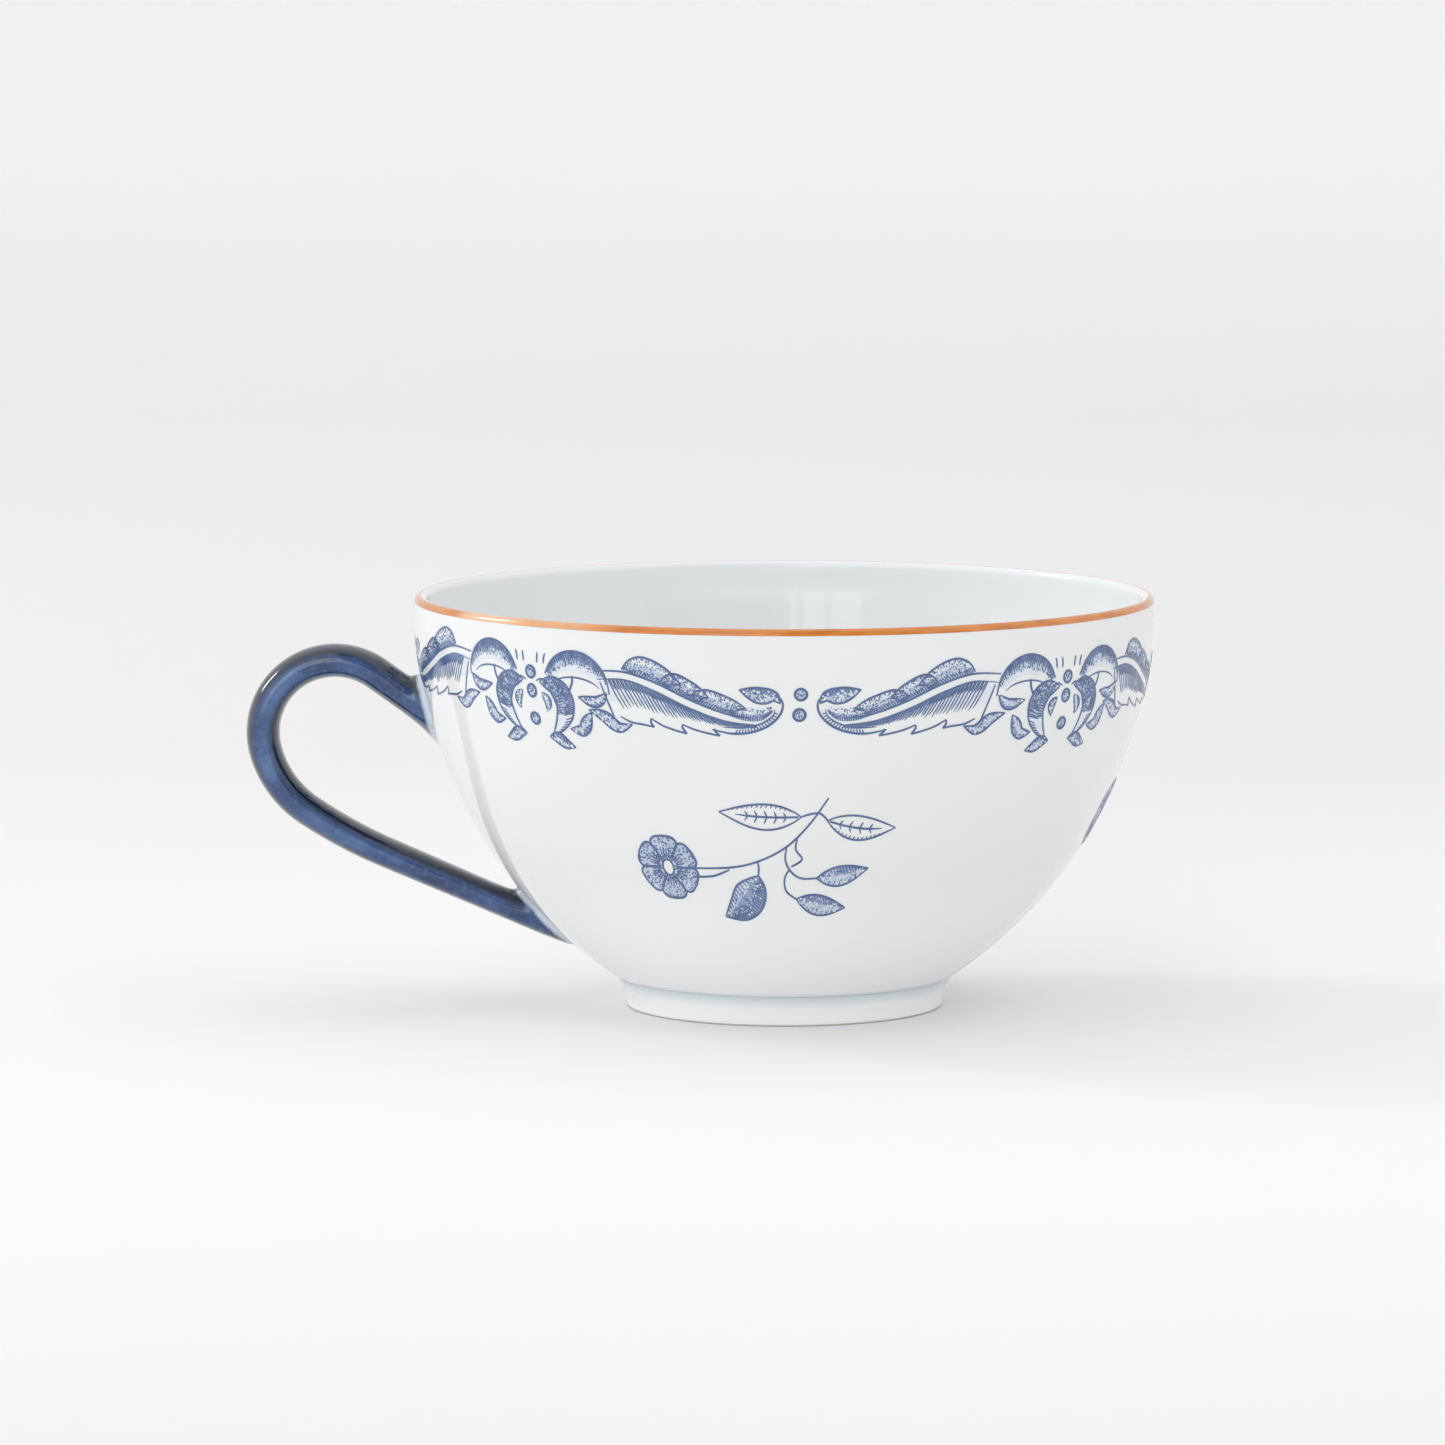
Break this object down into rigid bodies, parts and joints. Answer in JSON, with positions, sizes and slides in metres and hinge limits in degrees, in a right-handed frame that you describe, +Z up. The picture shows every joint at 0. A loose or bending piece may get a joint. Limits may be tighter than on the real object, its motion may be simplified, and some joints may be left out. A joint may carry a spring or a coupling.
{
  "type": "teacup",
  "caption": "Wide, low porcelain teacup on a turned foot ring, with a luted loop handle, a painted lip line and printed leaf-and-flower decoration.",
  "frame": {"origin": "where the bowl's axis meets the surface that the cup stands on", "axes": "+Z up along the bowl's axis, the handle points along -X, and the front of the cup faces -Y"},
  "size_m": [0.1328, 0.1082, 0.0606],
  "materials": {
    "porcelain": "glossy, faintly blue-white glaze",
    "foot": "glossy glaze with a bare, matt standing edge",
    "handle_glaze": "glossy cobalt blue, brushed on unevenly",
    "joint_glaze": "glossy cobalt blue that fades to white at the wall",
    "lip_line": "glossy orange-brown painted line",
    "transfer": "blue print under the glaze"
  },
  "bodies": {
    "root": {"bowl": "porcelain", "foot_ring": "foot", "handle": "handle_glaze", "upper_joint": "joint_glaze", "lower_joint": "joint_glaze", "rim_line": "lip_line", "border_front": "transfer", "border_right": "transfer", "border_back": "transfer", "border_left": "transfer", "sprig_front": "transfer", "sprig_right": "transfer", "sprig_back": "transfer"}
  },
  "joints": []
}
